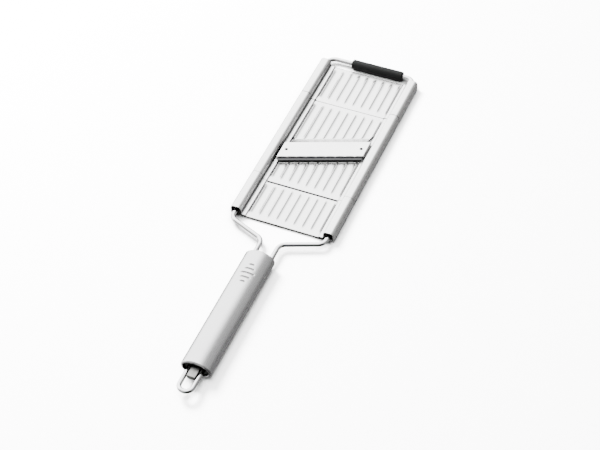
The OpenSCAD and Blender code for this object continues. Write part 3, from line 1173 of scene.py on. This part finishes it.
@dataclass
class SheetSection:
    """The cross-section of a plate: panel, steps, flanges and rails."""

    half_gauge: float = 43.0
    rail_r: float = 4.9
    shoulder_r: float = 3.4
    bend_r: float = 1.2
    flange_z: float = -2.5
    panel_z: float = -3.4
    panel_half: float = 33.6
    step_w: float = 0.8
    step_r: float = 0.45
    sheet_t: float = 0.8
    wire_r: float = 2.0
    lip_r: float = 0.3
    lip_low: float = -3.55
    cut_edge: float = 0.22
    ribs: PressedRibs = field(default_factory=PressedRibs)

    @property
    def flange_in(self) -> float:
        """Half width between the flanges' inner edges."""
        return self.panel_half + self.step_w

    def side(self, end: RailEnd) -> list[Point2]:
        """Gives the right side's line, from the panel out to the rail's end.

        Args:
            end: How the rail's outer wall ends.

        Returns:
            Points of X and Z on the sheet's upper face.
        """
        inner, outer = self.half_gauge - self.rail_r, self.half_gauge + self.rail_r
        corners: list[Point3] = [
            (self.panel_half - 1.5, self.panel_z, 0.0),
            (self.panel_half, self.panel_z, self.step_r),
            (self.flange_in, self.flange_z, self.step_r),
            (inner, self.flange_z, self.bend_r),
            (inner, self.rail_r, self.shoulder_r),
            (outer, self.rail_r, self.shoulder_r),
        ]
        if end is RailEnd.CLOSED:
            low = self.lip_low - self.sheet_t
            corners += [
                (outer, low, self.lip_r + self.sheet_t),
                (self.half_gauge - self.wire_r, low, 0.0),
            ]
        else:
            corners.append((outer, self.flange_z - self.sheet_t, 0.0))
        return rounded(corners, step=9.0)[1:]

    def panel_columns(self) -> list[float]:
        """Gives the panel's columns, close together on each rib.

        Returns:
            Values of X between the two steps.
        """
        ribs = self.ribs
        on_rib = [0.0, 0.12, 0.25, 0.4, 0.6, 0.85, 1.2, 1.6, 2.1, 2.7, 3.3, 4.0]
        values = {0.0}
        for i in range(ribs.pairs + 1):
            for d in on_rib:
                values |= {i * ribs.pitch + d, i * ribs.pitch - d}
        limit = self.panel_half - 0.3
        half = sorted(v for v in values if 0 < v < limit)
        return [-v for v in reversed(half)] + [0.0] + half

    def columns(self, end: RailEnd) -> list[Point2]:
        """Gives every column of the sheet, from the left rail to the right one.

        Args:
            end: How the rails' outer walls end.

        Returns:
            X and Z of each column.
        """
        right = self.side(end)
        left = [(-x, z) for x, z in reversed(right)]
        return left + [(x, self.panel_z) for x in self.panel_columns()] + right


def rib_rows(y0: float, y1: float, ribs: PressedRibs) -> list[float]:
    """Gives the rows of a plate, close together at the ribs' ends.

    Args:
        y0: Where the plate starts.
        y1: Where it ends.
        ribs: The ribs' rule.

    Returns:
        Values of Y.
    """
    ends = ribs.end_rows()
    middle = spread(y0 + ends[-1], y1 - ends[-1], 6.0)[1:-1]
    return [y0 + d for d in ends] + middle + [y1 - d for d in reversed(ends)]


@dataclass
class EndPlate:
    """One of the two fixed plates, with rails rolled round the wires."""

    name: str
    node: str
    y0: float
    y1: float
    slot: Optional[tuple[float, float]] = None
    relief: float = 0.0
    section: SheetSection = field(default_factory=SheetSection)

    def build(self, finishes: FinishSet) -> None:
        """Builds the plate.

        Args:
            finishes: The slicer's finishes.
        """
        columns = self.section.columns(RailEnd.CLOSED)
        rows = rib_rows(self.y0, self.y1, self.section.ribs)
        if self.slot:
            rows = sorted(set(rows) | {self.y1 - self.slot[0]})
        if self.relief:
            rows = sorted(set(rows) | {self.y0 + self.relief})
        vertices = [DATUM.at(x, y, z) for y in rows for x, z in columns]
        width = len(columns)
        faces = [
            (r * width + c, r * width + c + 1, (r + 1) * width + c + 1, (r + 1) * width + c)
            for r in range(len(rows) - 1)
            for c in range(width - 1)
            if not self.cut_away(
                (columns[c][0] + columns[c + 1][0]) / 2, (rows[r] + rows[r + 1]) / 2
            )
        ]
        made = new_object(self.name, vertices, faces, finishes.sheet)
        drop_loose(made)
        self.section.ribs.press(made, self.y0, self.y1, finishes.sheet)
        thicken(made, self.section.sheet_t, self.section.cut_edge)
        hand_over(settle(made), Body.FRAME, "satin_sheet", self.node)

    def cut_away(self, x: float, y: float) -> bool:
        """Says whether the sheet is cut away at a place.

        Args:
            x: Distance from the middle line.
            y: Distance from the rails' lower ends.

        Returns:
            True in the slot and the reliefs.
        """
        if self.slot and y > self.y1 - self.slot[0] and abs(x) < self.slot[1]:
            return True
        step = self.section.panel_half - 0.6 < abs(x) < self.section.flange_in + 0.9
        return bool(self.relief) and step and y < self.y0 + self.relief


def drop_loose(made: bpy.types.Object) -> None:
    """Deletes the vertices of a mesh that no face uses.

    Args:
        made: The object.
    """
    work = bmesh.new()
    work.from_mesh(made.data)
    bmesh.ops.delete(work, geom=[v for v in work.verts if not v.link_faces], context="VERTS")
    work.to_mesh(made.data)
    work.free()


# The insert and its blade


@dataclass
class Slant:
    """The blade's slanted line. Distances v are square to it, from the holder's front."""

    blade_y: float = 84.8
    angle: float = 21.4

    @property
    def slope(self) -> float:
        """Rise of the line along Y for each millimetre of X."""
        return math.tan(math.radians(self.angle))

    def y(self, v: float, x: float) -> float:
        """Gives the place along Y of a line behind the holder's front.

        Args:
            v: The line's distance behind the holder's front edge.
            x: Distance from the middle line.

        Returns:
            Distance from the rails' lower ends.
        """
        return self.blade_y + v / math.cos(math.radians(self.angle)) + x * self.slope


@dataclass(frozen=True)
class Row:
    """A row of the insert's sheet: its line along Y and how high the panel lies."""

    y: Callable[[float], float]
    rise: float = 0.0


@dataclass
class InsertPlate:
    """The lift-out plate: ribs, a lip with notches, a window and a ramp."""

    y0: float = 45.7
    y1: float = 154.95
    lip_start: float = -4.0
    lip_end: float = -1.2
    lip_fall: float = 1.2
    lip_half: float = 33.3
    ramp_land: float = 15.4
    holder_w: float = 17.4
    ramp_start: float = 27.4
    ramp_rise: float = 4.9
    ramp_half: float = 31.4
    window_half: float = 34.5
    slit_l: float = 3.5
    relief: float = 0.7
    notch_w: float = 3.0
    notch_tip: float = 2.2
    lip_w: float = 3.4
    rib_fade: float = 1.6
    slant: Slant = field(default_factory=Slant)
    section: SheetSection = field(default_factory=SheetSection)

    def build(self, finishes: FinishSet) -> None:
        """Builds the plate.

        Args:
            finishes: The slicer's finishes.
        """
        columns = self.columns()
        rows = self.rows()
        vertices = [
            DATUM.at(x, row.y(x), z + (row.rise if abs(x) < self.window_half else 0.0))
            for row in rows
            for x, z in columns
        ]
        width = len(columns)
        faces = [
            (r * width + c, r * width + c + 1, (r + 1) * width + c + 1, (r + 1) * width + c)
            for r in range(len(rows) - 1)
            for c in range(width - 1)
            if self.solid((columns[c][0] + columns[c + 1][0]) / 2, rows[r], rows[r + 1])
        ]
        made = new_object("insert_sheet", vertices, faces, finishes.sheet)
        drop_loose(made)
        front, back = self.slant.y(self.lip_start, 0.0), self.slant.y(self.ramp_start, 0.0)
        self.section.ribs.press(
            made, self.y0, self.y1, finishes.sheet,
            window=(front, back, self.slant.angle, self.rib_fade),
        )
        solid = made.modifiers.new("sheet", "SOLIDIFY")
        solid.thickness = self.section.sheet_t * MM
        solid.offset = -1.0
        cut_out(made, self.notch_cutter())
        soften(made, self.section.cut_edge)
        hand_over(settle(made), Body.INSERT, "satin_sheet", "insert_plate")

    def columns(self) -> list[Point2]:
        """Gives the sheet's columns, with one at each edge of the lip and the ramp.

        Returns:
            X and Z of each column.
        """
        section = self.section
        columns = section.columns(RailEnd.OPEN)
        for x in (self.ramp_half, self.lip_half, self.window_half):
            for side in (-1, 1):
                before = max((c for c in columns if c[0] <= side * x), key=lambda c: c[0])
                after = min((c for c in columns if c[0] > side * x), key=lambda c: c[0])
                share = (side * x - before[0]) / (after[0] - before[0])
                columns.append((side * x, before[1] + (after[1] - before[1]) * share))
        return sorted(columns, key=self.along_section)

    def along_section(self, column: Point2) -> tuple[float, float]:
        """Orders the columns along the sheet's section, where X alone does not.

        Args:
            column: X and Z.

        Returns:
            A sort key: X, then Z rising on the rails' inner walls and falling outside.
        """
        x, z = column
        outside = abs(x) > self.section.half_gauge
        rising = z if (x > 0) != outside else -z
        return (round(x, 4), rising)

    def rows(self) -> list[Row]:
        """Gives the sheet's rows, from the low seam to the high one.

        Returns:
            The rows.
        """
        ends = self.section.ribs.end_rows()
        near = [3.0, 2.3, 1.7, 1.2, 0.8, 0.4, 0.15]
        rows = [Row(lambda x, d=d: self.y0 + d) for d in ends]
        low_end, high_end = self.y0 + ends[-1], self.y1 - ends[-1]
        for t in spread(0.0, 1.0, 0.2)[1:-1]:
            rows.append(
                Row(lambda x, t=t: low_end + (self.level(self.lip_start, x) - near[0] - low_end) * t)
            )
        rows += [Row(lambda x, d=d: self.level(self.lip_start, x) - d) for d in near]
        rows.append(Row(lambda x: self.level(self.lip_start, x)))
        for t in (0.25, 0.45, 0.6, 0.72, 0.82, 0.92, 1.0):
            v = self.lip_start + (self.lip_end - self.lip_start) * t
            rows.append(Row(lambda x, v=v: self.level(v, x), -self.lip_fall * t**3))
        for v in spread(self.lip_end, self.ramp_land, 5.0)[1:-1]:
            rows.append(Row(lambda x, v=v: self.level(v, x)))
        rows.append(Row(lambda x: self.level(self.ramp_land, x), self.ramp_rise))
        rows.append(Row(lambda x: self.level(self.holder_w, x), self.ramp_rise))
        for v in spread(self.holder_w, self.ramp_start, 2.5)[1:-1]:
            fall = (v - self.holder_w) / (self.ramp_start - self.holder_w)
            rows.append(Row(lambda x, v=v: self.level(v, x), self.ramp_rise * (1 - fall)))
        rows.append(Row(self.slit))
        rows += [Row(lambda x, d=d: self.slit(x) + d) for d in reversed(near)]
        for t in spread(0.0, 1.0, 0.2)[1:-1]:
            rows.append(
                Row(lambda x, t=t: self.slit(x) + near[0] + (high_end - self.slit(x) - near[0]) * t)
            )
        return rows + [Row(lambda x, d=d: self.y1 - d) for d in reversed(ends)]

    def level(self, v: float, x: float) -> float:
        """Gives the place along Y of a slanted row, straight under the rails.

        Args:
            v: The row's distance behind the holder's front.
            x: Distance from the middle line.

        Returns:
            Distance from the rails' lower ends.
        """
        return self.slant.y(v, max(-self.window_half, min(self.window_half, x)))

    def slit(self, x: float) -> float:
        """Gives the ramp's rear line, drawn back beside the ramp by the slits.

        Args:
            x: Distance from the middle line.

        Returns:
            Distance from the rails' lower ends.
        """
        run = (abs(x) - self.ramp_half) / (self.section.panel_half - self.ramp_half)
        return self.level(self.ramp_start, x) + self.slit_l * max(0.0, min(1.0, run))

    def solid(self, x: float, low: Row, high: Row) -> bool:
        """Says whether the sheet has a face at a column between two rows.

        Args:
            x: The column's middle.
            low: The row before.
            high: The row after.

        Returns:
            False in the window, beside the lip and the ramp, and in the reliefs.
        """
        y = (low.y(x) + high.y(x)) / 2
        across = abs(x)
        if across > self.window_half:
            relief = across < self.section.flange_in + 0.9 and y > self.y1 - self.relief
            return not relief
        if y > self.y1 - self.relief and across > self.section.panel_half - 0.6:
            return False
        if y < self.slant.y(self.lip_start, x):
            return True
        if y < self.slant.y(self.lip_end, x):
            return across < self.lip_half
        if y < self.slant.y(self.ramp_land, x):
            return False
        if y < self.slit(x):
            return across < self.ramp_half
        return True

    def notch_cutter(self) -> bpy.types.Object:
        """Makes the wedges that cut the notches, one at the end of each rib.

        Returns:
            The cutter.
        """
        ribs = self.section.ribs
        turn = math.radians(self.slant.angle)
        wedge = [
            (0.0, -self.notch_tip),
            (self.notch_w / 2, self.lip_w + 1),
            (-self.notch_w / 2, self.lip_w + 1),
        ]
        vertices: list[Vector] = []
        faces: list[tuple[int, ...]] = []
        for i in range(-ribs.pairs + 1, ribs.pairs + 1):
            x = i * ribs.pitch
            y = self.slant.y(self.lip_start, x)
            n = len(vertices)
            for z in (self.section.panel_z - 3, self.section.panel_z + 1):
                for u, v in wedge:
                    px = x + u * math.cos(turn) - v * math.sin(turn)
                    py = y + u * math.sin(turn) + v * math.cos(turn)
                    vertices.append(DATUM.at(px, py, z))
            faces += [(n + 2, n + 1, n), (n + 3, n + 4, n + 5)]
            faces += [(n + k, n + (k + 1) % 3, n + 3 + (k + 1) % 3, n + 3 + k) for k in range(3)]
        cutter = new_object("notch_wedges", vertices, faces, bpy.data.materials.new("cut_face"))
        return cutter


def cut_out(made: bpy.types.Object, cutter: bpy.types.Object) -> None:
    """Cuts one object out of another and keeps the result as a plain mesh.

    Args:
        made: The piece, with its modifiers so far.
        cutter: What is cut out of it. It is deleted.
    """
    cut = made.modifiers.new("cut", "BOOLEAN")
    cut.operation = "DIFFERENCE"
    cut.solver = "EXACT"
    cut.object = cutter
    settle(made)
    bpy.data.objects.remove(cutter)


@dataclass
class BladeHolder:
    """The smooth bridge over the window, bent down to the flange at both ends."""

    width: float = 17.4
    half: float = 36.0
    top_z: float = 2.5
    foot_z: float = -2.5
    thickness: float = 1.0
    bend_r: float = 0.9
    leg_front: float = 1.5
    rivet_x: float = 30.9
    rivet_d: float = 3.0
    slant: Slant = field(default_factory=Slant)

    def build(self, finishes: FinishSet) -> None:
        """Builds the holder.

        Args:
            finishes: The slicer's finishes.
        """
        columns = rounded(
            [
                (-self.half, self.foot_z, 0.0),
                (-self.half, self.top_z, self.bend_r),
                (self.half, self.top_z, self.bend_r),
                (self.half, self.foot_z, 0.0),
            ]
        )
        rows = [0.0, self.leg_front, self.width]
        vertices = [DATUM.at(x, self.slant.y(v, x), z) for v in rows for x, z in columns]
        width = len(columns)
        faces = [
            (r * width + c, r * width + c + 1, (r + 1) * width + c + 1, (r + 1) * width + c)
            for r in range(len(rows) - 1)
            for c in range(width - 1)
            if r > 0 or 0 < c < width - 2
        ]
        made = new_object("blade_bridge", vertices, faces, finishes.bridge)
        drop_loose(made)
        solid = made.modifiers.new("sheet", "SOLIDIFY")
        solid.thickness = self.thickness * MM
        solid.offset = -1.0
        solid.use_even_offset = True
        cut_out(made, self.hole_cutter())
        soften(made, 0.3)
        hand_over(settle(made, sharp=20.0), Body.INSERT, "bright_sheet", "blade_holder")

    def hole_cutter(self) -> bpy.types.Object:
        """Makes the two pins that cut the rivet holes.

        Returns:
            The cutter.
        """
        work = bmesh.new()
        for side in (-1, 1):
            x = side * self.rivet_x
            middle = DATUM.at(x, self.slant.y(self.width / 2, x), self.top_z)
            bmesh.ops.create_cone(
                work, cap_ends=True, segments=32, radius1=self.rivet_d / 2 * MM,
                radius2=self.rivet_d / 2 * MM, depth=8 * MM, matrix=Matrix.Translation(middle),
            )
        mesh = bpy.data.meshes.new("rivet_pins")
        work.to_mesh(mesh)
        work.free()
        cutter = bpy.data.objects.new("rivet_pins", mesh)
        bpy.context.scene.collection.objects.link(cutter)
        return cutter


# The sleeve and the handle


@dataclass
class Sleeve:
    """The rubber sleeve on the far crossbar, with soft ends."""

    diameter: float = 8.6
    length: float = 49.5
    middle_x: float = 6.0
    crossbar_y: float = 210.8
    bore: float = 2.0
    end_r: float = 1.0
    sides: int = 48

    def build(self, finishes: FinishSet) -> None:
        """Builds the sleeve.

        Args:
            finishes: The slicer's finishes.
        """
        radius, half = self.diameter / 2, self.length / 2
        profile = rounded(
            [
                (-half, self.bore, 0.0),
                (-half, radius, self.end_r),
                (half, radius, self.end_r),
                (half, self.bore, 0.0),
            ],
            step=15.0,
        )
        turns = [2 * math.pi * k / self.sides for k in range(self.sides)]
        rings = [
            [
                DATUM.at(self.middle_x + x, self.crossbar_y + r * math.cos(t), r * math.sin(t))
                for t in turns
            ]
            for x, r in profile
        ]
        made = ring_skin("crossbar_sleeve", rings, finishes.rubber)
        hand_over(settle(made, sharp=50.0), Body.FRAME, "black_rubber", "rubber_sleeve")


@dataclass
class OvalHandle:
    """The oval tube. Distances along it are counted back from the rails."""

    width: float = 26.8
    height: float = 18.4
    level: float = 2.2
    wall: float = 1.0
    front: float = 44.0
    rear: float = 171.3
    front_r: float = 1.4
    mouth_in: float = 1.7
    rim_r: float = 1.5
    rim_in: float = 2.0
    rim_l: float = 1.7
    sides: int = 160
    groove_start: float = 16.6
    groove_pitch: float = 4.8
    grooves_each_side: int = 2
    groove_depth: float = 0.8
    groove_half_w: float = 1.2
    groove_half_l: float = 6.5
    groove_short_half: float = 2.7
    groove_fade: float = 1.2

    @property
    def groove_middle(self) -> float:
        """Distance of the middle groove."""
        return self.front + self.groove_start + self.grooves_each_side * self.groove_pitch

    def section(self, inset: float) -> list[Point2]:
        """Gives the oval: two wide arcs above and below, two narrow ones beside.

        Args:
            inset: How far it is drawn in all round.

        Returns:
            X and Z from the handle's axis.
        """
        w, h = self.width / 2, self.height / 2
        top_r = 0.87 * w * w / h
        side_r = (2 * h * top_r - w * w - h * h) / (2 * top_r - 2 * w)
        side_x = w - side_r
        change = math.atan2(top_r - h, side_x)
        points = []
        for k in range(self.sides):
            turn = 2 * math.pi * k / self.sides
            c, s = math.cos(turn), math.sin(turn)
            if math.atan2(abs(s), abs(c)) < change:
                r, x, z = side_r - inset, math.copysign(side_x, c), 0.0
            else:
                r, x, z = top_r - inset, 0.0, math.copysign(top_r - h, -s)
            points.append((x + r * c, z + r * s))
        return points

    def stations(self) -> list[Point2]:
        """Gives the tube's profile, round the shell's inside and outside.

        Returns:
            Inset and distance of each ring.
        """
        arc = [math.radians(a) for a in range(0, 91, 15)]
        front = [
            (self.front_r * (1 - math.sin(a)), self.front + self.front_r * (1 - math.cos(a)))
            for a in arc
        ]
        rear = [
            (self.rim_r * (1 - math.cos(a)), self.rear - self.rim_r * (1 - math.sin(a)))
            for a in arc
        ]
        half = self.grooves_each_side * self.groove_pitch + 1.2
        body = spread(self.groove_middle - half, self.groove_middle + half, 0.2)
        body += spread(body[-1], self.rear - self.rim_r, 12.0)[1:-1]
        inner = [
            (self.rim_in - 0.2, self.rear),
            (self.rim_in, self.rear - 0.2),
            (self.rim_in, self.rear - self.rim_l),
            (self.wall, self.rear - self.rim_l),
            (self.wall, self.front + self.wall),
            (self.mouth_in, self.front + self.wall),
        ]
        return front + [(0.0, d) for d in body] + rear + inner + [(self.mouth_in, self.front)]

    def build(self, finishes: FinishSet) -> None:
        """Builds the tube with its thumb grooves.

        Args:
            finishes: The slicer's finishes.
        """
        rings = [
            [DATUM.at(x, -d, self.level + z) for x, z in self.section(inset)]
            for inset, d in self.stations()
        ]
        made = ring_skin("oval_tube", rings, finishes.tube)
        self.press_grooves(made, finishes.tube)
        hand_over(settle(made), Body.FRAME, "satin_tube", "handle_tube")

    def press_grooves(self, made: bpy.types.Object, material: bpy.types.Material) -> None:
        """Presses the thumb grooves into the top by Geometry Nodes.

        Args:
            made: The tube.
            material: The tube's material.
        """
        taper = 1 - self.groove_short_half / self.groove_half_l
        group = NodeGroup(
            "thumb_grooves",
            {
                "Middle": DATUM.at(0, -self.groove_middle, 0).y,
                "Pitch": self.groove_pitch * MM,
                "Each side": self.grooves_each_side,
                "Depth": self.groove_depth * MM,
                "Half width": self.groove_half_w * MM,
                "Half length": self.groove_half_l * MM,
                "Taper": taper / self.grooves_each_side,
                "Fade": self.groove_fade * MM,
                "Floor": DATUM.at(0, 0, self.level + self.height / 2 - 3).z,
            },
        )
        g = group.inputs
        x, y, z = group.place()
        along = group.maths("SUBTRACT", y, g["Middle"])
        number = group.maths("ROUND", group.maths("DIVIDE", along, g["Pitch"]))
        last = g["Each side"]
        first = group.maths("MULTIPLY", last, -1.0)
        number = group.maths("MINIMUM", group.maths("MAXIMUM", number, first), last)
        away = group.maths(
            "ABSOLUTE",
            group.maths("SUBTRACT", along, group.maths("MULTIPLY", number, g["Pitch"])),
        )
        shrink = group.maths("MULTIPLY", group.maths("ABSOLUTE", number), g["Taper"])
        half_l = group.maths("MULTIPLY", g["Half length"], group.maths("SUBTRACT", 1.0, shrink))
        inside = group.maths("SUBTRACT", half_l, group.maths("ABSOLUTE", x))
        depth = group.maths(
            "MULTIPLY",
            group.smooth(away, 0.0, g["Half width"], 1.0, 0.0),
            group.smooth(inside, 0.0, g["Fade"]),
        )
        sink = group.maths("MULTIPLY", group.maths("MULTIPLY", depth, g["Depth"]), -1.0)
        moved = add_node(
            group.tree,
            "GeometryNodeSetPosition",
            links={
                "Geometry": g["Geometry"],
                "Selection": group.maths("GREATER_THAN", z, g["Floor"]),
                "Offset": add_node(
                    group.tree, "ShaderNodeCombineXYZ", links={"Z": sink}
                ).outputs[0],
            },
        )
        group.finish(moved.outputs[0], material)
        group.use_on(made)


@dataclass
class HangingLoop:
    """The wire loop behind the handle, and the tongue between its legs."""

    wire_d: float = 3.8
    half_w: float = 5.85
    start: float = 157.3
    end: float = 195.5
    level: float = 2.2
    tongue_w: float = 7.4
    tongue_t: float = 4.0
    tongue_start: float = 163.3
    tongue_end: float = 179.8
    tongue_edge: float = 0.45

    def build(self, finishes: FinishSet) -> None:
        """Builds the loop and the tongue.

        Args:
            finishes: The slicer's finishes.
        """
        tip = self.end - self.wire_d / 2
        bend_r = self.half_w - 0.01
        corners = [
            (-self.half_w, -self.start, 0.0),
            (-self.half_w, -tip, bend_r),
            (self.half_w, -tip, bend_r),
            (self.half_w, -self.start, 0.0),
        ]
        loop = BentWire("loop_wire", corners, self.wire_d, level=self.level)
        made = loop.build(finishes.wire)
        hand_over(made, Body.FRAME, "polished_wire", "hanging_loop")
        w, t = self.tongue_w / 2, self.tongue_t / 2
        ends = (-self.tongue_start, -self.tongue_end)
        outline = ((-w, -t), (w, -t), (w, t), (-w, t))
        places = [DATUM.at(x, y, self.level + z) for y in ends for x, z in outline]
        faces = [(0, 1, 2, 3), (7, 6, 5, 4)]
        faces += [(k, k + 4, (k + 1) % 4 + 4, (k + 1) % 4) for k in range(4)]
        tongue = new_object("loop_tongue_block", places, faces, finishes.blasted)
        soften(tongue, self.tongue_edge)
        hand_over(settle(tongue), Body.FRAME, "cast_cap", "loop_tongue")


# Dressing


NODE_FINISH: dict[str, str] = {
    "wire_frame": "wire",
    "rubber_sleeve": "rubber",
    "bottom_plate": "sheet",
    "top_plate": "sheet",
    "insert_plate": "sheet",
    "blade_holder": "bridge",
    "blade": "blade",
    "blade_rivets": "rivet",
    "handle_tube": "tube",
    "front_plug": "tube",
    "tail_block": "nylon",
    "end_cap": "blasted",
    "hanging_loop": "wire",
    "loop_tongue": "blasted",
}


def dress_nodes(finishes: FinishSet) -> None:
    """Gives every CAD node its material.

    Args:
        finishes: The slicer's finishes.
    """
    for name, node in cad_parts.items():
        material = getattr(finishes, NODE_FINISH.get(name, "nylon"))
        node.data.materials.clear()
        node.data.materials.append(material)
        LOG.info("dressed %s", name)


def main() -> None:
    """Builds the slicer's looks."""
    logging.basicConfig(level=logging.INFO, format="%(name)s: %(message)s")
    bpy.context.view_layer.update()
    Camera().build()
    Studio().build()
    finishes = FinishSet()
    dress_nodes(finishes)
    FrameWire().build(finishes)
    EndPlate("lower_plate", "bottom_plate", 0.0, 45.3, slot=(1.6, 33.1)).build(finishes)
    EndPlate("upper_plate", "top_plate", 155.6, 203.8, relief=0.7).build(finishes)
    InsertPlate().build(finishes)
    BladeHolder().build(finishes)
    Sleeve().build(finishes)
    OvalHandle().build(finishes)
    HangingLoop().build(finishes)


if __name__ == "__main__":
    main()
